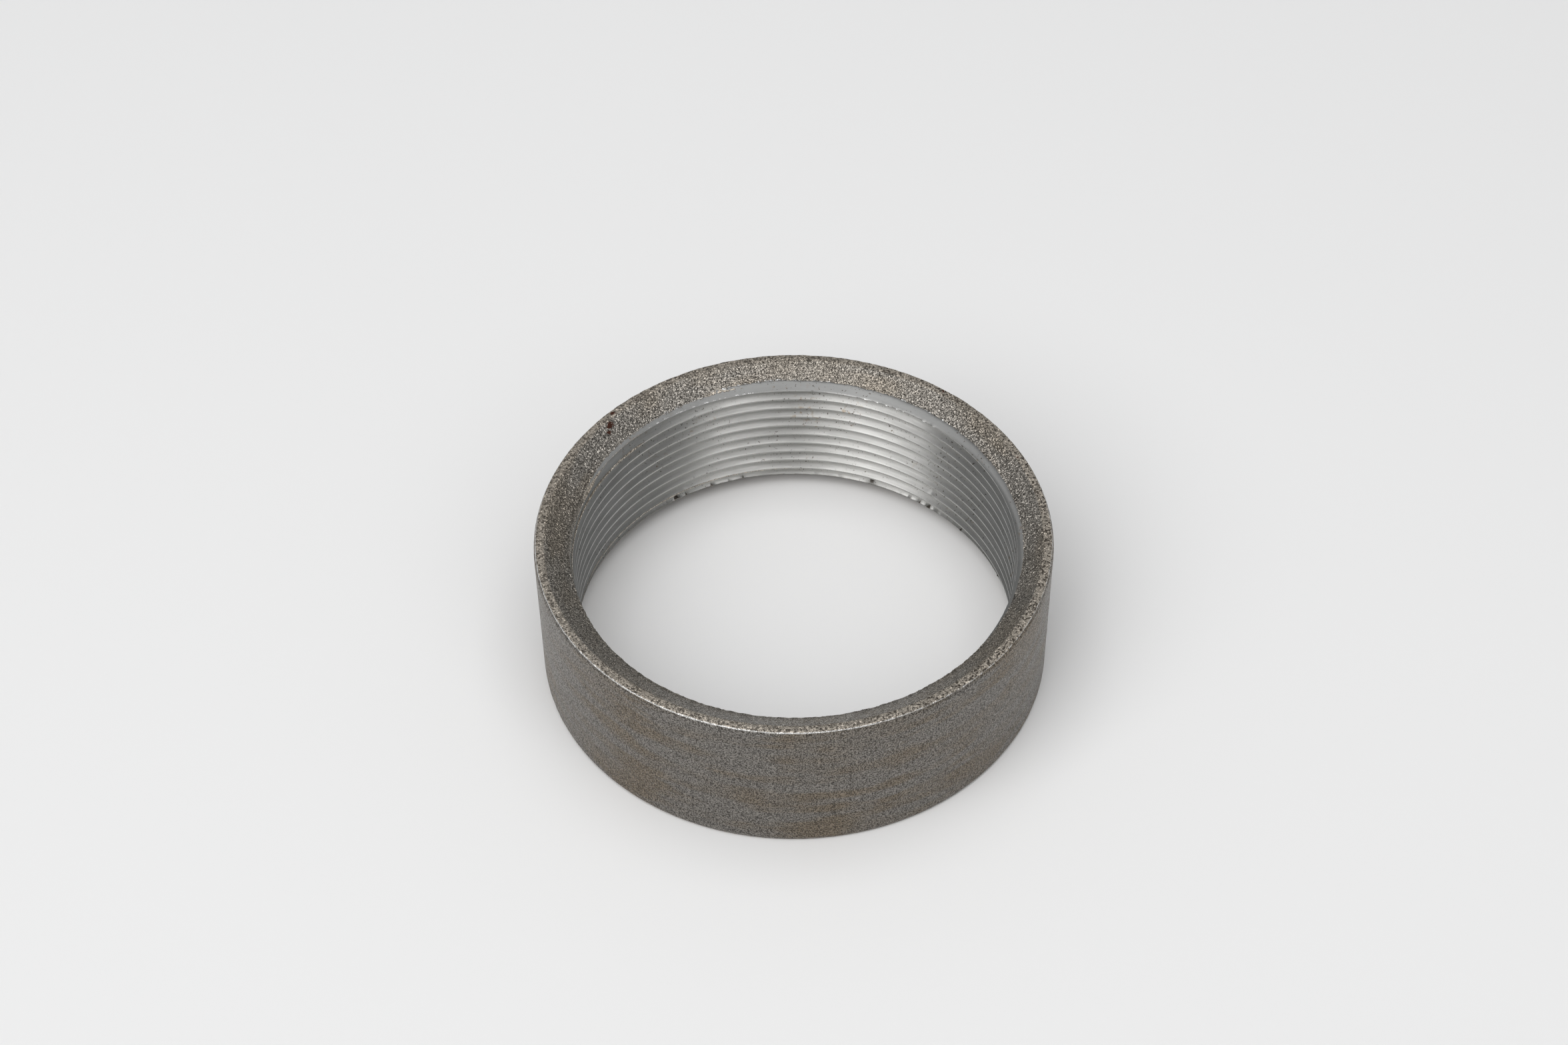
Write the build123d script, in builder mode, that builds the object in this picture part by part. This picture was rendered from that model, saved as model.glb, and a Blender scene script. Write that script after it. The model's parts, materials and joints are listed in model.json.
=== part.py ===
from build123d import *
from math import radians, tan
import os

# One-piece threaded pipe coupling, short ("half") pattern, NPS 4, made from forged carbon steel.
# Frame: origin at the centre of the bottom face, +Z up along the coupling. Millimetres.

# Forged blank, a ring about Z. Both ends are alike.
outer_radius = 63.5
length = 40.3
shoulder_width = 0.4  # steep facet between the outer wall and each end face
shoulder_height = 1.1
land_radius = 61.0  # inner edge of each flat end face
mouth_radius = 55.0  # inner edge of the bevel behind each end face
bevel_depth = 4.2
flare_depth = 6.5  # the forged bore narrows a little behind the bevel
forged_bore_radius = 53.6

# Machined bore, thread and mouth chamfer. They share an axis that runs beside the blank's own.
bore_offset = 0.4
crest_radius = 54.5
thread_pitch = 25.4 / 8  # 8 threads per inch
thread_depth = 2.2
thread_flank_angle = 30.0  # each side of the 60 degree vee
root_flat = 0.2
chamfer_height = 3.0
chamfer_base = 35.3  # height at which the 45 degree mouth chamfer meets the crests

# Thread cutter path: a right-hand helix that starts and ends in the open bevels.
# It is cut in equal passes, each of which carries on where the last one stopped.
groove_start = 1.37
turns_per_pass = 2
passes = 6
cutter_overlap = 0.25  # how far the cutter stands inside the crests


def blank_outline():
    """Closed half section of the forged ring, from the bottom land round to the flare."""
    return [
        (land_radius, 0),
        (outer_radius - shoulder_width, 0),
        (outer_radius, shoulder_height),
        (outer_radius, length - shoulder_height),
        (outer_radius - shoulder_width, length),
        (land_radius, length),
        (mouth_radius, length - bevel_depth),
        (forged_bore_radius, length - bevel_depth - flare_depth),
        (forged_bore_radius, bevel_depth + flare_depth),
        (mouth_radius, bevel_depth),
    ]


def groove_outline():
    """The vee cutter's section, as (distance from the bore axis, height) corners."""
    root_radius = crest_radius + thread_depth
    inner_radius = crest_radius - cutter_overlap
    half_root = root_flat / 2
    half_mouth = half_root + (root_radius - inner_radius) * tan(radians(thread_flank_angle))
    return [
        (root_radius, groove_start - half_root),
        (root_radius, groove_start + half_root),
        (inner_radius, groove_start + half_mouth),
        (inner_radius, groove_start - half_mouth),
    ]


bore_location = Location((bore_offset, 0, 0))
pass_locations = [
    Location((bore_offset, 0, number * turns_per_pass * thread_pitch)) for number in range(passes)
]

# The forged ring before any machining.
with BuildPart() as blank:
    with BuildSketch(Plane.XZ):
        with BuildLine():
            Polyline(*blank_outline(), close=True)
        make_face()
    revolve(axis=Axis.Z)

# The material that boring takes out: a straight bore that opens into a 45 degree chamfer.
with BuildPart() as boring:
    with BuildSketch(Plane.XZ):
        with BuildLine():
            Polyline(
                (0, 0),
                (crest_radius, 0),
                (crest_radius, chamfer_base),
                (crest_radius + chamfer_height, chamfer_base + chamfer_height),
                (crest_radius + chamfer_height, length),
                (0, length),
                close=True,
            )
        make_face()
    revolve(axis=Axis.Z)

# The material that one pass of the thread cutter takes out.
with BuildPart() as groove:
    with BuildLine():
        Helix(
            pitch=thread_pitch,
            height=turns_per_pass * thread_pitch,
            radius=crest_radius,
            center=(0, 0, groove_start),
        )
    with BuildSketch(Plane.XZ):
        with BuildLine():
            Polyline(*groove_outline(), close=True)
        make_face()
    sweep(is_frenet=True)

# The finished coupling: the blank, bored and threaded about the offset axis.
with BuildPart() as coupling_body:
    add(blank.part)
    with Locations(bore_location):
        add(boring.part, mode=Mode.SUBTRACT)
    for pass_location in pass_locations:
        with Locations(pass_location):
            add(groove.part, mode=Mode.SUBTRACT)

coupling_body.part.label = "coupling_body"
os.makedirs("parts", exist_ok=True)
export_step(coupling_body.part, "parts/coupling_body.step")
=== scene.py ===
import json
import math

import bpy
import numpy as np
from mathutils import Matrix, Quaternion, Vector, noise


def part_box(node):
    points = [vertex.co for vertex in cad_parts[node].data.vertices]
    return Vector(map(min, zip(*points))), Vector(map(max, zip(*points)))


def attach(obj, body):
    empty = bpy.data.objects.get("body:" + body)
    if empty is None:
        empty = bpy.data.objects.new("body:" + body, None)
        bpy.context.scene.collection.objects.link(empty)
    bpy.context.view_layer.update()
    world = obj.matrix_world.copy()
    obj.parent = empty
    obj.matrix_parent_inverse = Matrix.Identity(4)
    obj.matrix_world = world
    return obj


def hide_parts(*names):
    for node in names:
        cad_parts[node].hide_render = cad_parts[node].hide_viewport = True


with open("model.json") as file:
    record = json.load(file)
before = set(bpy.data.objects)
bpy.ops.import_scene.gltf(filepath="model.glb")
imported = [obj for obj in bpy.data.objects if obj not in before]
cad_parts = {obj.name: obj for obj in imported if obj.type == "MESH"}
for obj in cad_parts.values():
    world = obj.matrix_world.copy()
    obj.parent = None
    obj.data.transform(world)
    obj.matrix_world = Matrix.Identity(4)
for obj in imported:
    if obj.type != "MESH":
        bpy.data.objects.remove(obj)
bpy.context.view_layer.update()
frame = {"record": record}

MM = 0.001
TAU = 2 * math.pi

# ---------------------------------------------------------------------------------------------
# Sizes. The frame gives the box, the bore and its axis; the rest are the ring's own forms.
# ---------------------------------------------------------------------------------------------
bore_mount = next(m for m in frame["record"]["mounts"] if m["name"] == "thread_bore")
ring_low, ring_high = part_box("coupling_body")
OUTER_RADIUS = (ring_high.x - ring_low.x) / 2
HEIGHT = ring_high.z
CREST_RADIUS = bore_mount["dims"]["r_mm"] * MM
BORE_X = bore_mount["pos_m"][0]

# Columns of vertices round the ring
COLUMNS = 700
# Section of a shoulder, from the land to the wall: mm in from the wall, mm off the end face, and wear.
# It is a steep facet, and its two corners are rubbed bright, partly as a painted highlight.
SHOULDER_SECTION = [
    (0.80, 0.00, 0.35), (0.62, 0.01, 0.8), (0.50, 0.06, 1.0), (0.41, 0.16, 1.15), (0.33, 0.32, 0.95),
    (0.27, 0.46, 0.2), (0.10, 0.88, 0.1), (0.02, 1.04, 0.8), (0.00, 1.15, 0.7), (0.00, 1.40, 0.1),
]
# The shoulders are rubbed most on this arc, which faces the lights, and by this share of it elsewhere; the
# bright rub there is partly a painted highlight
WEAR_AND_HIGHLIGHT_ARC = (math.radians(165), math.radians(300))
LEAST_WEAR_AND_HIGHLIGHT = 0.84
LAND_RADIUS = 61.0 * MM
MOUTH_RADIUS = 55.0 * MM
BEVEL_DEPTH = 4.2 * MM
FLARE_DEPTH = 6.5 * MM
FORGED_BORE_RADIUS = 53.6 * MM

PITCH = 25.4 / 8 * MM
THREAD_DEPTH = 2.2 * MM
CREST_FLAT = 0.44 * MM
ROOT_FLAT = 0.2 * MM
FLANK_ANGLE = math.radians(30)
CREST_HEIGHT_AT_BACK = 35.5 * MM
CHAMFER_BASE = 35.3 * MM
# The chamfer's axis stands this far along X from the ring's own
CHAMFER_X = 0.1 * MM
# The tools don't clean up behind the mouth at the back left. The skin lies out of their reach on the raw
# arc, and the top groove fades above a height on the missed arc. The chamfer gets shallower over its own
# arc, and stays so round the front as far as azimuth 0.
RAW_ARC = (math.radians(130), math.radians(192))
RAW_FADE = math.radians(6)
SKIN_STEP = 0.5 * MM
MISSED_ARC = (math.radians(147), math.radians(190))
MISSED_FADE = math.radians(12)
MISSED_BASE = 34.0 * MM
MISSED_RISE = 0.5 * MM
CHAMFER_END = (math.radians(150), math.radians(175))
CHAMFER_SHORTFALL = 0.4 * MM

# Relief of the surfaces, as depths cut into the metal
LUMP_DEPTH = 0.05 * MM
SKIN_DEPTH = 0.05 * MM
EDGE_WEAR_DEPTH = 0.12 * MM
MOUTH_RAGGEDNESS = 0.14 * MM
BURR_HEIGHT = 0.2 * MM
MOUTH_BURR_ARCS = [(math.radians(44), math.radians(128))]
CREST_BURR_ARCS = [(math.radians(46), math.radians(74)), (math.radians(98), math.radians(133))]

# Damage to the lower edge of the bore: azimuth in degrees, width and height of each nick in mm
NICKS = [
    (124, 1.3, 0.55), (121, 0.7, 0.25), (113, 1.1, 0.20), (108, 0.7, 0.15), (104, 1.2, 0.18),
    (84, 0.8, 0.12), (77, 0.8, 0.12), (56, 1.0, 0.15), (53, 0.9, 0.20), (50, 1.5, 0.25),
    (47, 0.8, 0.15), (38, 1.2, 0.20), (19, 0.9, 0.20), (13, 0.8, 0.15),
]
# Dents in the thread: azimuth in degrees, height of the middle, radius and depth in mm
DENTS = [
    (68, 4.6, 1.1, 0.22), (122, 6.7, 0.9, 0.20), (86, 27.4, 0.5, 0.20), (49, 9.5, 0.8, 0.15),
    (143, 19.0, 0.7, 0.12),
]


# ---------------------------------------------------------------------------------------------
# Shape of the inside, as a radius for every azimuth and height
# ---------------------------------------------------------------------------------------------
def crest_height(azimuth):
    """Height of one turn's crest. The thread is right-hand, so it climbs as the azimuth grows."""
    return CREST_HEIGHT_AT_BACK + PITCH * (azimuth - TAU / 4) / TAU


def on_arc(azimuth, arc, fade):
    """1 on an arc and 0 off it, with ends that fade over the given angle inside it."""
    return np.clip(np.minimum(azimuth - arc[0], arc[1] - azimuth) / fade, 0, 1)


def forged_radius(azimuth, z):
    """The unmachined skin: a bevel behind each end face, then a slow flare to the forged bore.

    At the top the skin steps in behind the bevel, except on the raw arc, so the tools clean it up.
    """
    depth = np.minimum(z, HEIGHT - z)
    bevel = MOUTH_RADIUS + (BEVEL_DEPTH - depth) * (LAND_RADIUS - MOUTH_RADIUS) / BEVEL_DEPTH
    flare = MOUTH_RADIUS - (depth - BEVEL_DEPTH) * (MOUTH_RADIUS - FORGED_BORE_RADIUS) / FLARE_DEPTH
    behind = np.clip((depth - BEVEL_DEPTH) / SKIN_STEP, 0, 1) * (z > HEIGHT / 2)
    flare = flare - SKIN_STEP * behind * (1 - on_arc(azimuth, RAW_ARC, RAW_FADE))
    bevel = np.where(depth > BEVEL_DEPTH, 0, bevel)
    return np.maximum(np.maximum(bevel, flare), FORGED_BORE_RADIUS)


def groove_depth(azimuth, z):
    """Depth of the vee thread below its crests."""
    turn = (z - crest_height(azimuth)) / PITCH
    from_crest = np.abs(turn - np.round(turn)) * PITCH
    depth = (from_crest - CREST_FLAT / 2) / math.tan(FLANK_ANGLE)
    missed = on_arc(azimuth, MISSED_ARC, MISSED_FADE) * np.clip((z - MISSED_BASE) / MISSED_RISE, 0, 1)
    return np.clip(depth, 0, THREAD_DEPTH) * (1 - missed)


def machined_radius(azimuth, z):
    """What the tools leave, bore, mouth chamfer and thread, as a distance from the ring's own axis."""
    bore = CREST_RADIUS + groove_depth(azimuth, z)
    short = np.clip((azimuth - CHAMFER_END[0]) / (CHAMFER_END[1] - CHAMFER_END[0]), 0, 1)
    chamfer = CREST_RADIUS + (z - CHAMFER_BASE) - (BORE_X - CHAMFER_X) * np.cos(azimuth)
    chamfer = chamfer - CHAMFER_SHORTFALL * short
    radius = np.maximum(bore, chamfer)
    across = BORE_X * np.sin(azimuth)
    return BORE_X * np.cos(azimuth) + np.sqrt(radius ** 2 - across ** 2)


def mouth_height(azimuth, start, stop):
    """Height at which the machined surface meets the forged bevel, searched from the face inwards."""
    heights = np.linspace(start, stop, 400)
    a, z = np.meshgrid(azimuth, heights)
    cut = machined_radius(a, z) > forged_radius(a, z)
    cut[-1] = True
    return heights[np.argmax(cut, axis=0)]


def noise_at(points, size, seed):
    """Smooth noise between -1 and 1 at each point, with lumps of about the given size."""
    shift = Vector((seed * 3.7, seed * 1.9, seed * 5.3))
    return np.array([noise.noise(Vector(p) / size + shift) for p in points])


def arc_points(azimuth, z):
    """Points on the bore at the given azimuths and heights."""
    z = np.full(len(azimuth), 1.0) * z
    return np.stack([CREST_RADIUS * np.cos(azimuth), CREST_RADIUS * np.sin(azimuth), z], 1).tolist()


# ---------------------------------------------------------------------------------------------
# The ring's mesh: circular rows outside and on the bevels, helical rows in the thread
# ---------------------------------------------------------------------------------------------
class Mesh:
    """Vertices and faces of one closed surface of revolution with a helical inside.

    Each vertex carries the depth in mm that the tools cut there (negative on the forged skin), how
    worn its edge is, how much of a burr it is, how deep it lies in the thread's groove, and whether
    a nick has broken it.
    """

    def __init__(self):
        self.points = []
        self.faces = []
        self.marks = {"cut_depth": [], "edge_wear": [], "burr": [], "groove": [], "nick": []}

    def add(self, radius, azimuth, z, **marks):
        first = len(self.points)
        count = len(azimuth)
        ones = np.ones(count)
        xyz = np.stack([radius * np.cos(azimuth), radius * np.sin(azimuth), z * ones], 1)
        self.points.extend(xyz.tolist())
        for name, values in self.marks.items():
            default = -1.0 if name == "cut_depth" else 0.0
            values.extend((marks.get(name, default) * ones).tolist())
        return list(range(first, first + count))

    def bridge(self, ring, next_ring):
        count = len(ring)
        for j in range(count):
            k = (j + 1) % count
            self.faces.append((ring[j], next_ring[j], next_ring[k], ring[k]))

    def stitch(self, chain, next_chain):
        """Joins two rising chains of (key, vertex) that share most of their keys."""
        i = j = 0
        while i < len(chain) - 1 or j < len(next_chain) - 1:
            key = chain[i + 1][0] if i < len(chain) - 1 else math.inf
            next_key = next_chain[j + 1][0] if j < len(next_chain) - 1 else math.inf
            here, there = chain[i][1], next_chain[j][1]
            if i < len(chain) - 1 and j < len(next_chain) - 1 and key == next_key:
                self.faces.append((here, chain[i + 1][1], next_chain[j + 1][1], there))
                i += 1
                j += 1
            elif j == len(next_chain) - 1 or (i < len(chain) - 1 and key < next_key):
                self.faces.append((here, chain[i + 1][1], there))
                i += 1
            else:
                self.faces.append((here, next_chain[j + 1][1], there))
                j += 1


azimuths = np.arange(COLUMNS) * TAU / COLUMNS
ring_mesh = Mesh()


def skin_ring(radius, z, normal, wear=0.0):
    """A ring on the forged skin, sunk a little along its normal by lumps, blasting and edge wear."""
    radius = np.ones(COLUMNS) * radius
    z = np.ones(COLUMNS) * z
    points = np.stack([radius * np.cos(azimuths), radius * np.sin(azimuths), z], 1).tolist()
    lumps = LUMP_DEPTH * (0.5 + 0.5 * noise_at(points, 9 * MM, 1))
    skin = SKIN_DEPTH * (0.5 + 0.5 * noise_at(points, 1.3 * MM, 2))
    worn = EDGE_WEAR_DEPTH * wear * np.clip(0.3 + noise_at(points, 1.4 * MM, 3), 0, 1)
    sink = lumps + skin + worn
    sink = np.minimum(sink, z) if normal[1] < 0 else sink
    return ring_mesh.add(radius - normal[0] * sink, azimuths, z - normal[1] * sink, edge_wear=wear)


def shoulder_rings(face_height, wear_share):
    """Rings of one shoulder, from its land to the wall."""
    up = 1 if face_height > HEIGHT / 2 else -1
    section = np.array(SHOULDER_SECTION)
    along = np.gradient(section[:, :2], axis=0)
    normals = np.stack([along[:, 1], -up * along[:, 0]], 1)
    normals /= np.linalg.norm(normals, axis=1, keepdims=True)
    wear_share = wear_share * (LEAST_WEAR_AND_HIGHLIGHT + (1 - LEAST_WEAR_AND_HIGHLIGHT) * on_arc(azimuths, WEAR_AND_HIGHLIGHT_ARC, math.radians(20)))
    return [skin_ring(OUTER_RADIUS - inset * MM, face_height - up * drop * MM, normal, wear_share * wear)
            for (inset, drop, wear), normal in zip(SHOULDER_SECTION, normals)]


def outside_rings():
    """Rings from the top land's inner edge, out over the wall and back to the bottom land's inner edge."""
    inset, _, _ = SHOULDER_SECTION[0]
    _, drop, _ = SHOULDER_SECTION[-1]
    land = np.linspace(LAND_RADIUS, OUTER_RADIUS - inset * MM, 4)[:-1]
    wall = np.linspace(HEIGHT - drop * MM, drop * MM, 11)[1:-1]
    rings = [skin_ring(r, HEIGHT, (0, 1), 0.35 if r == LAND_RADIUS else 0.2) for r in land]
    rings += shoulder_rings(HEIGHT, 1.0)
    rings += [skin_ring(OUTER_RADIUS, z, (1, 0)) for z in wall]
    rings += shoulder_rings(0, 0.5)[::-1]
    rings += [skin_ring(r, 0, (0, -1)) for r in land[::-1]]
    return rings


def bevel_rings(edge_height, face_height, count, burr, nick):
    """Rings on the forged bevel, from a mouth's machined edge towards its end face."""
    up = 1 if face_height > HEIGHT / 2 else -1
    slope = math.atan2(BEVEL_DEPTH, LAND_RADIUS - MOUTH_RADIUS)
    normal = (-math.sin(slope), up * math.cos(slope))
    edge = ring_mesh.add(forged_radius(azimuths, edge_height) - burr, azimuths, edge_height + up * burr,
                         cut_depth=0, edge_wear=0.4, burr=burr / BURR_HEIGHT, nick=nick)
    rings = [edge]
    for share in np.linspace(0, 1, count)[1:-1]:
        z = edge_height + (face_height - edge_height) * share
        rings.append(skin_ring(forged_radius(azimuths, z), z, normal, wear=0.15 * (1 - share)))
    return rings


flank = (PITCH / 2 - CREST_FLAT / 2 - ROOT_FLAT / 2) / PITCH
half_crest = CREST_FLAT / 2 / PITCH
# Rows of one turn, as shares of the pitch above its crest: crest, upward flank, root, downward flank
ROW_PLACES = [
    0, half_crest, half_crest + flank / 3, half_crest + flank * 2 / 3, half_crest + flank,
    1 - half_crest - flank, 1 - half_crest - flank / 2, 1 - half_crest,
]
# Turns that can lie between the two mouths, counted upwards from the top crest
TURNS = range(-13, 3)
# The top crest lies within this height of the chamfer's base, and only it is burred
TOP_CREST_REACH = 0.9 * MM
# Rows end this far from the mouths' edges
EDGE_GAP = 0.06 * MM


def dent_depth(azimuth, z):
    """Depth of the listed dents, zero away from them."""
    depth = np.zeros(len(z))
    for degrees, height, size, deep in DENTS:
        along = (azimuth - math.radians(degrees)) * CREST_RADIUS / MM
        distance = np.hypot(along, z / MM - height) / size
        depth = np.maximum(depth, deep * MM * np.clip(1.3 - distance, 0, 1))
    return depth


def thread_columns(low_edge, high_edge, low_ring, high_ring, crest_burr, nick):
    """For each column, the chain of (row key, vertex) from the low edge to the high one."""
    keys = np.array([t * len(ROW_PLACES) + n for t in TURNS for n in range(len(ROW_PLACES))])
    places = np.array([t + p for t in TURNS for p in ROW_PLACES])
    on_crest = np.array([p == 0 for t in TURNS for p in ROW_PLACES])
    chains = []
    for j, azimuth in enumerate(azimuths):
        z = crest_height(azimuth) + places * PITCH
        inside = (z > low_edge[j] + EDGE_GAP) & (z < high_edge[j] - EDGE_GAP)
        z = z[inside]
        a = np.full(z.shape, azimuth)
        machined = machined_radius(a, z)
        forged = forged_radius(a, z)
        top_crest = on_crest[inside] & (np.abs(z - CHAMFER_BASE) < TOP_CREST_REACH)
        burr = np.where(top_crest, crest_burr[j], 0)
        radius = np.maximum(machined, forged) - burr + dent_depth(a, z)
        groove = np.where(z > CHAMFER_BASE, 0, groove_depth(a, z) / THREAD_DEPTH)
        # Nicks and dents, which the thread's material darkens with painted shade
        broken = np.maximum(nick[j] * (z < low_edge[j] + 0.5 * MM) * 0.5, dent_depth(a, z) * 3 / MM)
        rows = ring_mesh.add(radius, a, z, cut_depth=(machined - forged) / MM, burr=burr / BURR_HEIGHT,
                             groove=groove, nick=broken)
        chain = [(-math.inf, low_ring[j])]
        chain += list(zip(keys[inside].tolist(), rows))
        chain.append((math.inf, high_ring[j]))
        chains.append(chain)
    return chains


def ragged(z, seed, amount):
    """A mouth's edge height with the small steps that a tool leaves where it breaks out of a rough skin."""
    points = arc_points(azimuths, z)
    return z + amount * (0.6 * noise_at(points, 3 * MM, seed) + 0.7 * noise_at(points, 0.9 * MM, seed + 1))


def nicked(z):
    """The bore's lower edge, raised wherever a nick has broken it away."""
    for degrees, width, height in NICKS:
        along = (azimuths - math.radians(degrees)) * CREST_RADIUS / MM / width
        z = z + height * MM * np.clip(1.2 - 2 * np.abs(along), 0, 1)
    return z


def burrs(z, seed, arcs):
    """Heights of the small bright burrs along an edge: short runs of sharp teeth, tallest on the arcs."""
    points = arc_points(azimuths, z)
    runs = np.clip(1.6 * noise_at(points, 6 * MM, seed) + 1.2, 0, 1)
    teeth = np.clip(2.2 * noise_at(points, 0.8 * MM, seed + 1) + 0.5, 0, 1)
    burred = sum(on_arc(azimuths, arc, math.radians(3)) for arc in arcs)
    return BURR_HEIGHT * runs * teeth * (0.4 + 0.6 * burred)


def fill_ring_mesh():
    """Adds every row and face of the ring, and returns how many of its faces are forged skin."""
    high_edge = ragged(mouth_height(azimuths, HEIGHT - 0.5 * MM, HEIGHT - 5.5 * MM), 11, MOUTH_RAGGEDNESS)
    whole_edge = ragged(mouth_height(azimuths, 0.5 * MM, 5.5 * MM), 21, 0.5 * MOUTH_RAGGEDNESS)
    low_edge = nicked(whole_edge)
    low_nick = np.clip((low_edge - whole_edge) / (0.25 * MM), 0, 1)
    outside = outside_rings()
    high_bevel = bevel_rings(high_edge, HEIGHT, 12, burrs(high_edge, 31, MOUTH_BURR_ARCS), 0)
    low_bevel = bevel_rings(low_edge, 0, 8, 0 * azimuths, low_nick)
    for rings in (outside, [outside[-1]] + low_bevel[::-1], high_bevel + [outside[0]]):
        for ring, next_ring in zip(rings, rings[1:]):
            ring_mesh.bridge(ring, next_ring)
    skin_faces = len(ring_mesh.faces)
    crest_burr = burrs(high_edge * 0, 41, CREST_BURR_ARCS)
    chains = thread_columns(low_edge, high_edge, low_bevel[0], high_bevel[0], crest_burr, low_nick)
    for chain, next_chain in zip(chains, chains[1:]):
        ring_mesh.stitch(chain, next_chain)
    # One turn round, a row lines up with the row of the turn below
    first = [(key - len(ROW_PLACES), vertex) for key, vertex in chains[0]]
    ring_mesh.stitch(chains[-1], first)
    return skin_faces


def coupling_mesh():
    """The Blender mesh, with its vertices' marks as attributes and its two material indices."""
    skin_faces = fill_ring_mesh()
    mesh = bpy.data.meshes.new("coupling")
    mesh.from_pydata(ring_mesh.points, [], ring_mesh.faces)
    for name, values in ring_mesh.marks.items():
        mesh.attributes.new(name, "FLOAT", "POINT").data.foreach_set("value", values)
    machined = [0] * skin_faces + [1] * (len(ring_mesh.faces) - skin_faces)
    mesh.polygons.foreach_set("material_index", machined)
    mesh.polygons.foreach_set("use_smooth", [True] * len(mesh.polygons))
    mesh.update()
    mesh.set_sharp_from_angle(angle=math.radians(40))
    return mesh


# ---------------------------------------------------------------------------------------------
# Materials
# ---------------------------------------------------------------------------------------------
class Graph:
    """A material's node graph, with one short method for each kind of node that it uses."""

    def __init__(self, name):
        self.material = bpy.data.materials.new(name)
        self.material.use_nodes = True
        self.nodes = self.material.node_tree.nodes
        self.links = self.material.node_tree.links
        self.shader = self.nodes["Principled BSDF"]
        self.place = self.add("ShaderNodeTexCoord", {}, "Object")

    def add(self, kind, inputs, output=0, **settings):
        node = self.nodes.new(kind)
        for name, value in settings.items():
            setattr(node, name, value)
        for name, value in inputs.items():
            self.feed(node.inputs[name], value)
        return node.outputs[output]

    def feed(self, socket, value):
        if isinstance(value, bpy.types.NodeSocket):
            self.links.new(value, socket)
        else:
            socket.default_value = value

    def math(self, operation, a, b=0.0):
        return self.add("ShaderNodeMath", {0: a, 1: b}, operation=operation)

    def attribute(self, name):
        return self.add("ShaderNodeAttribute", {}, "Fac", attribute_name=name)

    def noise(self, vector, size, detail=2.0, roughness=0.5):
        """Noise around 0.5 with lumps of about `size` metres."""
        inputs = {"Vector": vector, "Scale": 1 / size, "Detail": detail, "Roughness": roughness}
        return self.add("ShaderNodeTexNoise", inputs, "Fac")

    def cells(self, vector, size):
        """Distance to the nearest of scattered points, about `size` metres apart."""
        return self.add("ShaderNodeTexVoronoi", {"Vector": vector, "Scale": 1 / size}, "Distance")

    def ramp(self, value, low, high, out_low=0.0, out_high=1.0):
        inputs = {0: value, 1: low, 2: high, 3: out_low, 4: out_high}
        return self.add("ShaderNodeMapRange", inputs, interpolation_type="SMOOTHSTEP")

    def mix(self, share, a, b):
        """Blend of two colours, by a share of the second."""
        colours = [c if isinstance(c, bpy.types.NodeSocket) else (*c, 1) for c in (a, b)]
        inputs = {"Factor": share, 6: colours[0], 7: colours[1]}
        return self.add("ShaderNodeMix", inputs, 2, data_type="RGBA")

    def tint(self, share, colour, tint):
        """A colour multiplied by a tint, by a share of it."""
        inputs = {"Factor": share, 6: colour, 7: (*tint, 1)}
        return self.add("ShaderNodeMix", inputs, 2, data_type="RGBA", blend_type="MULTIPLY")

    def blend(self, share, a, b):
        """Blend of two numbers, by a share of the second."""
        return self.add("ShaderNodeMix", {"Factor": share, 2: a, 3: b}, 0, data_type="FLOAT")

    def stretched(self, x, y, z):
        return self.add("ShaderNodeMapping", {"Vector": self.place, "Scale": (x, y, z)})

    def around(self, across):
        """Coordinates with X and Y shrunk: marks in them are long across the axis and fine along it."""
        return self.stretched(across, across, 1)

    def bump(self, height, depth, under=None):
        inputs = {"Height": height, "Distance": depth, "Strength": 1.0}
        if under is not None:
            inputs["Normal"] = under
        return self.add("ShaderNodeBump", inputs, "Normal")


SKIN_DARK = (0.068, 0.062, 0.055)
SKIN_LIGHT = (0.295, 0.276, 0.251)
BROWN_TINT = (0.90, 0.78, 0.62)
FOOT_TINT = (0.85, 0.66, 0.48)
SKIN_PIT = (0.05, 0.04, 0.03)
WORN_STEEL_AND_HIGHLIGHT = (0.74, 0.73, 0.71)
# Partly bare steel, partly painted light on the top land
LAND_STEEL_AND_LIGHT = (0.53, 0.472, 0.40)
BURR_STEEL = (0.85, 0.85, 0.84)
RUST = (0.09, 0.037, 0.024)
# Painted light: the skin of the bevels and the bore is a lighter copy of the wall's, standing in for the
# lights' reflection in them
BEVEL_PAINTED_LIGHT_TINT = (1.65, 1.64, 1.62)
# Raw skin inside the bore gets this on top of the bevels' tint
RAW_TINT = (1.65, 1.64, 1.62)
# Rust spots: azimuth of the middle in degrees, then its radius, its height and the spot's size in mm
RUST_SPOTS = [
    (137.5, 62.0, 40.3, 1.1), (140.5, 60.2, 39.6, 1.3), (142, 59.0, 38.8, 0.8), (118, 62.6, 40.2, 0.6),
    (52, 62.4, 40.2, 0.7), (24, 61.6, 40.3, 0.8),
]


def from_axis(graph):
    """Distance from the ring's axis."""
    flat = graph.stretched(1, 1, 0)
    return graph.add("ShaderNodeVectorMath", {0: flat}, "Value", operation="LENGTH")


def coordinate(graph, axis):
    """One coordinate of the surface's place."""
    return graph.add("ShaderNodeSeparateXYZ", {0: graph.place}, axis)


def behind_lands(graph):
    """1 on the bevels and in the bore, and 0 on the lands and the wall."""
    return graph.ramp(from_axis(graph), LAND_RADIUS + 0.4 * MM, LAND_RADIUS - 0.4 * MM)


def on_top_land(graph):
    """1 on the top land and the upper edge of its shoulder, and 0 elsewhere."""
    high = graph.ramp(coordinate(graph, "Z"), HEIGHT - 0.4 * MM, HEIGHT - 0.2 * MM)
    outer = graph.ramp(from_axis(graph), LAND_RADIUS - 0.2 * MM, LAND_RADIUS + 0.1 * MM)
    return graph.math("MULTIPLY", high, outer)


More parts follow.
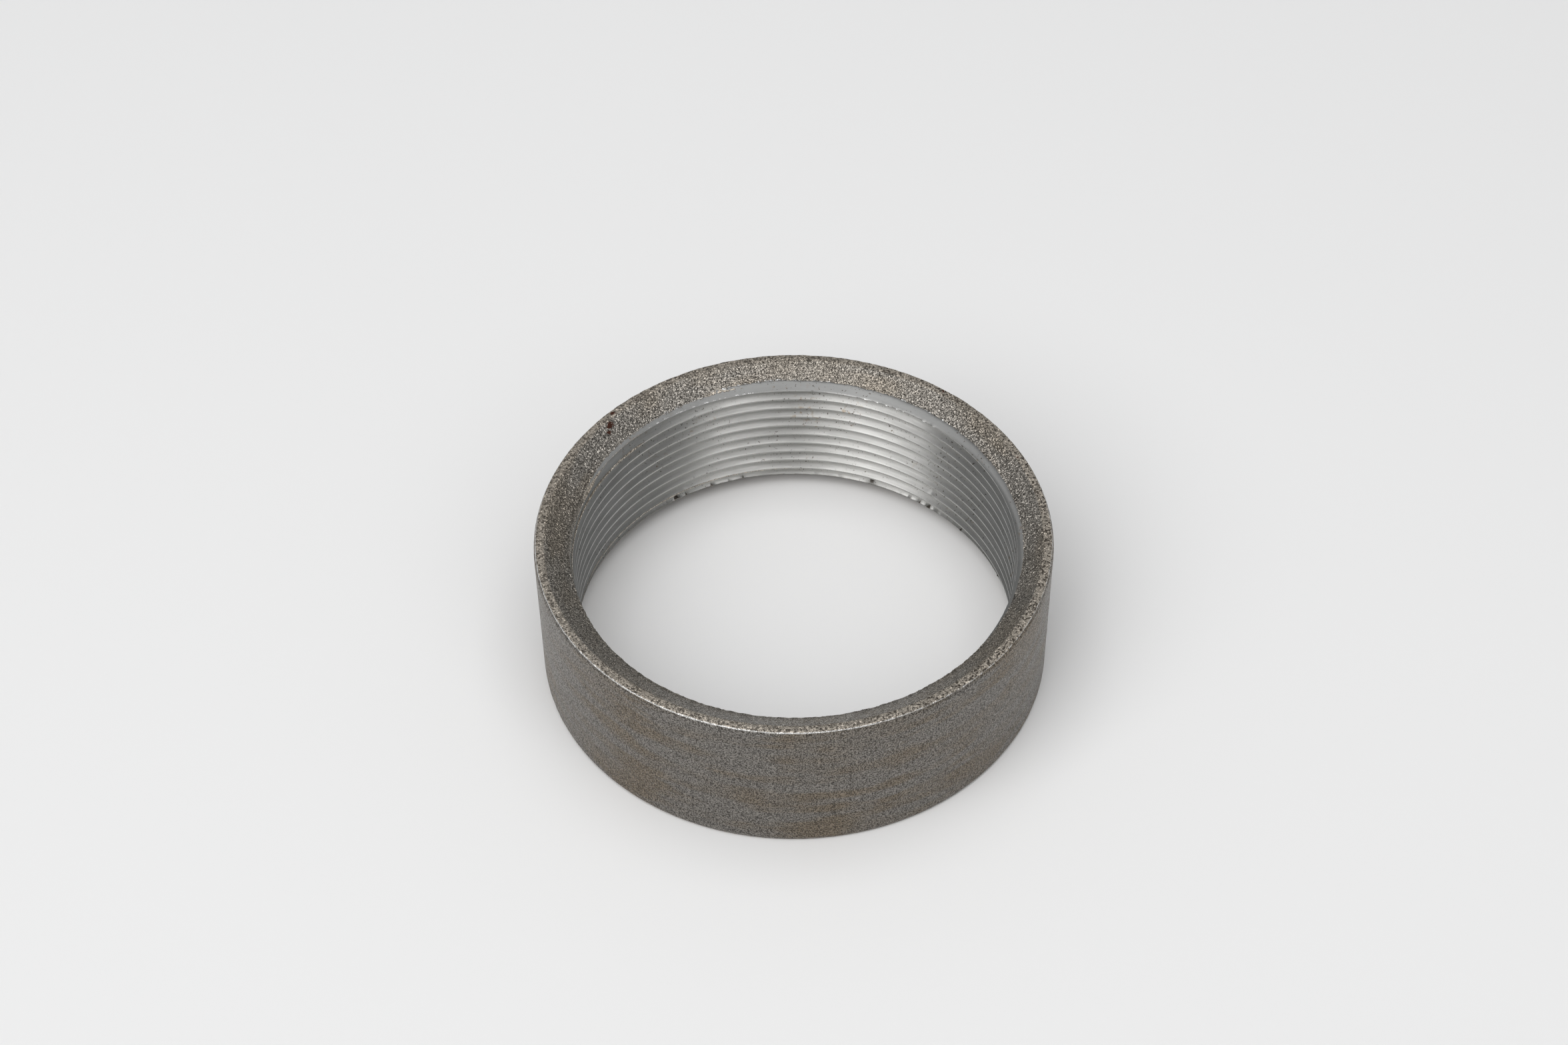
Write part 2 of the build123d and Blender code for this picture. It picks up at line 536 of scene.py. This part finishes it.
def skin_layers(graph):
    """Colour, roughness and relief of shot-blasted forged steel, shared by both materials, with painted
    light on the skin behind the lands.
    """
    place = graph.place
    grain = graph.noise(place, 0.34 * MM, 2.0, 0.6)
    lumps = graph.noise(place, 0.8 * MM, 2.0, 0.6)
    craters = graph.cells(place, 0.5 * MM)
    speckle = graph.noise(place, 0.36 * MM, 2.0, 0.6)
    bands = graph.noise(graph.around(0.15), 4 * MM, 2.0)
    clouds = graph.noise(place, 16 * MM, 3.0)
    colour = graph.mix(graph.ramp(speckle, 0.36, 0.64), SKIN_DARK, SKIN_LIGHT)
    brown = graph.math("MULTIPLY", graph.ramp(bands, 0.4, 0.6), graph.ramp(clouds, 0.35, 0.65, 0.3, 0.9))
    foot = graph.ramp(coordinate(graph, "Z"), 0.9 * MM, 0.1 * MM)
    inside = behind_lands(graph)
    brown = graph.math("MULTIPLY", brown, graph.blend(inside, 1.0, 0.45))
    colour = graph.tint(brown, colour, BROWN_TINT)
    colour = graph.tint(foot, colour, FOOT_TINT)
    # Painted light lightens the skin behind the lands.
    colour = graph.tint(inside, colour, BEVEL_PAINTED_LIGHT_TINT)
    pits = graph.ramp(graph.noise(place, 0.7 * MM, 1.0), 0.34, 0.28)
    colour = graph.mix(graph.math("MULTIPLY", pits, 0.6), colour, SKIN_PIT)
    relief = graph.math("ADD", grain, graph.math("MULTIPLY", craters, 0.5))
    relief = graph.math("ADD", relief, graph.math("MULTIPLY", lumps, graph.blend(inside, 0.9, 1.6)))
    relief = graph.math("SUBTRACT", relief, pits)
    rough = graph.ramp(speckle, 0.3, 0.7, 0.46, 0.30)
    rough = graph.math("SUBTRACT", rough, graph.math("MULTIPLY", inside, 0.08))
    return colour, rough, relief


def glinting(graph, amount):
    """The surface's normal, tilted at random from one grain of the blasted skin to the next."""
    tilt = graph.add("ShaderNodeTexVoronoi", {"Vector": graph.place, "Scale": 1 / (0.28 * MM)}, "Color")
    tilt = graph.add("ShaderNodeVectorMath", {0: tilt, 1: (0.5, 0.5, 0.5)}, operation="SUBTRACT")
    tilt = graph.add("ShaderNodeVectorMath", {0: tilt, "Scale": amount}, operation="SCALE")
    normal = graph.add("ShaderNodeNewGeometry", {}, "Normal")
    tilted = graph.add("ShaderNodeVectorMath", {0: normal, 1: tilt}, operation="ADD")
    return graph.add("ShaderNodeVectorMath", {0: tilted}, operation="NORMALIZE")


def rust_mask(graph):
    """Irregular rust spots at their listed middles."""
    edge = graph.math("MULTIPLY", graph.noise(graph.place, 0.9 * MM, 3.0, 0.65), 3.0 * MM)
    mask = 0.0
    for degrees, radius, height, size in RUST_SPOTS:
        azimuth = math.radians(degrees)
        middle = (radius * MM * math.cos(azimuth), radius * MM * math.sin(azimuth), height * MM)
        inputs = {0: graph.place, 1: middle}
        distance = graph.add("ShaderNodeVectorMath", inputs, "Value", operation="DISTANCE")
        spot = graph.ramp(graph.math("ADD", distance, edge), (size + 1.3) * MM, (size + 0.9) * MM)
        mask = graph.math("MAXIMUM", mask, spot)
    return mask


def burr_mask(graph):
    """Where the bright metal of a burr shows: short broken flecks along the marked edges."""
    flecks = graph.ramp(graph.noise(graph.place, 0.4 * MM, 2.0), 0.42, 0.54)
    return graph.math("MULTIPLY", graph.ramp(graph.attribute("burr"), 0.3, 0.65), flecks)


def land_pits(graph, land):
    """Winding dark pits in the top land, a little darker on the ring's +X side."""
    darkness = graph.ramp(coordinate(graph, "X"), 0.0, 50 * MM, 0.75, 0.9)
    pits = graph.ramp(graph.noise(graph.place, 0.5 * MM, 2.0, 0.6), 0.475, 0.415)
    return graph.math("MULTIPLY", pits, graph.math("MULTIPLY", land, darkness))


def forged_skin():
    """The blasted skin of the wall, lands and bevels, with its rubbed corners and their painted highlight, a
    top land that is partly painted light, land pits, burrs and rust.
    """
    graph = Graph("forged_skin")
    colour, rough, relief = skin_layers(graph)
    patches = graph.noise(graph.place, 0.9 * MM, 3.0, 0.6)
    land = on_top_land(graph)
    # The top land is paler in patches: partly bare steel, partly painted light that it would catch from
    # behind the ring
    bare_and_lit = graph.math("MULTIPLY", land, graph.ramp(patches, 0.3, 0.6, 0.5, 1.0))
    colour = graph.mix(bare_and_lit, colour, LAND_STEEL_AND_LIGHT)
    pits = land_pits(graph, land)
    colour = graph.mix(pits, colour, SKIN_PIT)
    # The rubbed corners get bright steel: real wear, and a painted highlight on the arc that faces the
    # lights
    worn = graph.ramp(graph.math("ADD", graph.attribute("edge_wear"), patches), 1.25, 1.6)
    colour = graph.mix(worn, colour, WORN_STEEL_AND_HIGHLIGHT)
    colour = graph.mix(burr_mask(graph), colour, BURR_STEEL)
    rust = rust_mask(graph)
    colour = graph.mix(rust, colour, RUST)
    rough = graph.blend(worn, rough, 0.24)
    rough = graph.blend(rust, rough, 0.8)
    relief = graph.math("SUBTRACT", relief, pits)
    graph.feed(graph.shader.inputs["Base Color"], colour)
    graph.feed(graph.shader.inputs["Roughness"], rough)
    grains = glinting(graph, graph.blend(behind_lands(graph), 0.5, 0.8))
    graph.feed(graph.shader.inputs["Normal"], graph.bump(relief, 0.13 * MM, grains))
    graph.shader.inputs["Metallic"].default_value = 0.8
    return graph.material


TURNED_DARK = (0.39, 0.387, 0.374)
TURNED_LIGHT = (0.465, 0.461, 0.447)
# Painted light: the deeper part of each groove is lightened, standing in for light that bounces about inside
# it
DEEP_GROOVE_PAINTED_LIGHT = (1.6, 1.6, 1.6)
# Painted highlight: the thread's crests are lightened a little
CREST_PAINTED_HIGHLIGHT = (1.08, 1.08, 1.08)
STRIP_STEEL = (0.31, 0.31, 0.305)
# Grime for the scattered spots, and painted shade in the nicks and dents
GRIME_AND_PAINTED_SHADE = (0.12, 0.105, 0.09)
STAIN = (0.30, 0.22, 0.14)


def turned_steel(graph, tool_marks, strip):
    """Colour and roughness of the thread and of the chamfer's strip, with smears, spots and stains, painted
    light deep in the grooves and a painted highlight on the crests.
    """
    smears = graph.noise(graph.around(0.08), 0.9 * MM, 3.0, 0.6)
    clouds = graph.noise(graph.place, 12 * MM, 3.0)
    colour = graph.mix(graph.ramp(smears, 0.25, 0.75), TURNED_DARK, TURNED_LIGHT)
    colour = graph.mix(graph.ramp(tool_marks, 0.35, 0.7, 0.0, 0.35), colour, TURNED_DARK)
    groove = graph.attribute("groove")
    # Painted light lightens the deeper part of each groove.
    colour = graph.tint(graph.ramp(groove, 0.15, 0.8), colour, DEEP_GROOVE_PAINTED_LIGHT)
    # A painted highlight lightens the crests.
    colour = graph.tint(graph.ramp(groove, 0.06, 0.0), colour, CREST_PAINTED_HIGHLIGHT)
    colour = graph.mix(graph.math("MULTIPLY", strip, 0.8), colour, STRIP_STEEL)
    spots = graph.ramp(graph.noise(graph.place, 0.6 * MM, 2.0), 0.36, 0.29)
    colour = graph.mix(graph.math("MULTIPLY", spots, graph.ramp(clouds, 0.4, 0.6)), colour, GRIME_AND_PAINTED_SHADE)
    stains = graph.ramp(graph.noise(graph.place, 1.1 * MM, 2.0), 0.56, 0.7)
    stains = graph.math("MULTIPLY", stains, graph.ramp(clouds, 0.56, 0.72, 0.0, 0.6))
    rough = graph.ramp(smears, 0.3, 0.7, 0.40, 0.34)
    rough = graph.math("ADD", rough, graph.math("MULTIPLY", strip, 0.2))
    return graph.mix(stains, colour, STAIN), rough


def raw_share(graph):
    """1 where the tools haven't reached the skin, with an irregular edge."""
    ragged_edge = graph.math("SUBTRACT", graph.noise(graph.place, 0.8 * MM, 2.0), 0.5)
    cut = graph.math("ADD", graph.attribute("cut_depth"), graph.math("MULTIPLY", ragged_edge, 0.3))
    return graph.ramp(cut, 0.05, -0.01)


def machined_thread():
    """Turned steel, with raw skin where the tools missed it, and nicks, burrs and fine tool marks; the nicks
    and dents are darkened with painted shade.
    """
    graph = Graph("machined_thread")
    skin_colour, skin_rough, skin_relief = skin_layers(graph)
    tool_marks = graph.noise(graph.around(0.02), 0.16 * MM, 2.0, 0.6)
    strip = graph.ramp(coordinate(graph, "Z"), CHAMFER_BASE - 0.1 * MM, CHAMFER_BASE + 0.4 * MM)
    colour, rough = turned_steel(graph, tool_marks, strip)
    # Painted shade darkens the nicks and dents.
    nick = graph.ramp(graph.attribute("nick"), 0.25, 0.7)
    colour = graph.mix(nick, colour, GRIME_AND_PAINTED_SHADE)
    colour = graph.mix(burr_mask(graph), colour, BURR_STEEL)
    raw = raw_share(graph)
    colour = graph.mix(raw, colour, graph.tint(1.0, skin_colour, RAW_TINT))
    rough = graph.blend(nick, graph.blend(raw, rough, skin_rough), 0.7)
    tool_relief = graph.math("MULTIPLY", tool_marks, graph.math("SUBTRACT", 1.0, raw))
    tool_relief = graph.bump(tool_relief, 0.012 * MM)
    relief = graph.math("MULTIPLY", skin_relief, raw)
    tangent = graph.add("ShaderNodeTangent", {}, direction_type="RADIAL", axis="Z")
    graph.feed(graph.shader.inputs["Base Color"], colour)
    graph.feed(graph.shader.inputs["Roughness"], rough)
    graph.feed(graph.shader.inputs["Normal"], graph.bump(relief, 0.1 * MM, tool_relief))
    graph.feed(graph.shader.inputs["Tangent"], tangent)
    graph.feed(graph.shader.inputs["Metallic"], graph.blend(strip, 1.0, 0.35))
    graph.shader.inputs["Anisotropic"].default_value = 0.8
    graph.shader.inputs["Anisotropic Rotation"].default_value = 0.25
    return graph.material


coupling = bpy.data.objects.new("coupling", coupling_mesh())
bpy.context.scene.collection.objects.link(coupling)
coupling.data.materials.append(forged_skin())
coupling.data.materials.append(machined_thread())
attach(coupling, "root")
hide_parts("coupling_body")

# ---------------------------------------------------------------------------------------------
# Floor, lights and camera
# ---------------------------------------------------------------------------------------------
FLOOR_REACH = 4.0
PAPER = (0.9, 0.895, 0.89)
# Each softbox: azimuth and elevation in degrees, distance in metres, size in metres, and power in watts
SOFTBOXES = {
    "key_left": (228, 47, 3.4, (2.5, 2.6), 51.5),
    "fill_right": (303, 47, 3.4, (1.8, 2.4), 16),
    "overhead": (270, 88, 1.6, (1.35, 1.35), 8.8),
}
ROOM_LIGHT = (0.96, 0.98, 1.0)
ROOM_STRENGTH = 0.29
CAMERA_LENS = 66.06
CAMERA_PLACE = Vector((0, -479.9 * MM, 553.0 * MM))
CAMERA_TARGET = Vector((-2.5 * MM, 41.2 * MM, 0))
CAMERA_ROLL = math.radians(-0.643)


def floor():
    """A plain pale sheet of paper, larger than the view."""
    corners = [(-1, -1), (1, -1), (1, 1), (-1, 1)]
    mesh = bpy.data.meshes.new("floor")
    mesh.from_pydata([(x * FLOOR_REACH, y * FLOOR_REACH, 0) for x, y in corners], [], [(0, 1, 2, 3)])
    paper = bpy.data.materials.new("paper")
    paper.use_nodes = True
    shader = paper.node_tree.nodes["Principled BSDF"]
    shader.inputs["Base Color"].default_value = (*PAPER, 1)
    shader.inputs["Roughness"].default_value = 0.9
    mesh.materials.append(paper)
    plane = bpy.data.objects.new("floor", mesh)
    bpy.context.scene.collection.objects.link(plane)


def softbox(name, azimuth, elevation, distance, size, power):
    """A rectangular area light that faces the ring from the given direction in degrees."""
    lamp = bpy.data.lights.new(name, "AREA")
    lamp.shape = "RECTANGLE"
    lamp.size, lamp.size_y = size
    lamp.energy = power
    box = bpy.data.objects.new(name, lamp)
    flat = math.cos(math.radians(elevation))
    a = math.radians(azimuth)
    place = Vector((math.cos(a) * flat, math.sin(a) * flat, math.sin(math.radians(elevation)))) * distance
    box.location = place
    box.rotation_mode = "QUATERNION"
    box.rotation_quaternion = (-place).to_track_quat("-Z", "Y")
    bpy.context.scene.collection.objects.link(box)


def room():
    """Soft even light from all round, shown with the plain view transform."""
    world = bpy.data.worlds.new("studio")
    world.use_nodes = True
    background = world.node_tree.nodes["Background"]
    background.inputs["Color"].default_value = (*ROOM_LIGHT, 1)
    background.inputs["Strength"].default_value = ROOM_STRENGTH
    bpy.context.scene.world = world
    bpy.context.scene.view_settings.view_transform = "Standard"


def camera():
    """The camera, in front of the ring and above it, and turned a little about its own axis."""
    data = bpy.data.cameras.new("camera")
    data.lens = CAMERA_LENS
    data.sensor_width = 36.0
    data.clip_end = 20
    viewer = bpy.data.objects.new("camera", data)
    viewer.location = CAMERA_PLACE
    viewer.rotation_mode = "QUATERNION"
    aim = (CAMERA_TARGET - CAMERA_PLACE).to_track_quat("-Z", "Y")
    viewer.rotation_quaternion = aim @ Quaternion((0, 0, 1), CAMERA_ROLL)
    bpy.context.scene.collection.objects.link(viewer)
    bpy.context.scene.camera = viewer


floor()
for name, settings in SOFTBOXES.items():
    softbox(name, *settings)
room()
camera()

bpy.context.view_layer.update()
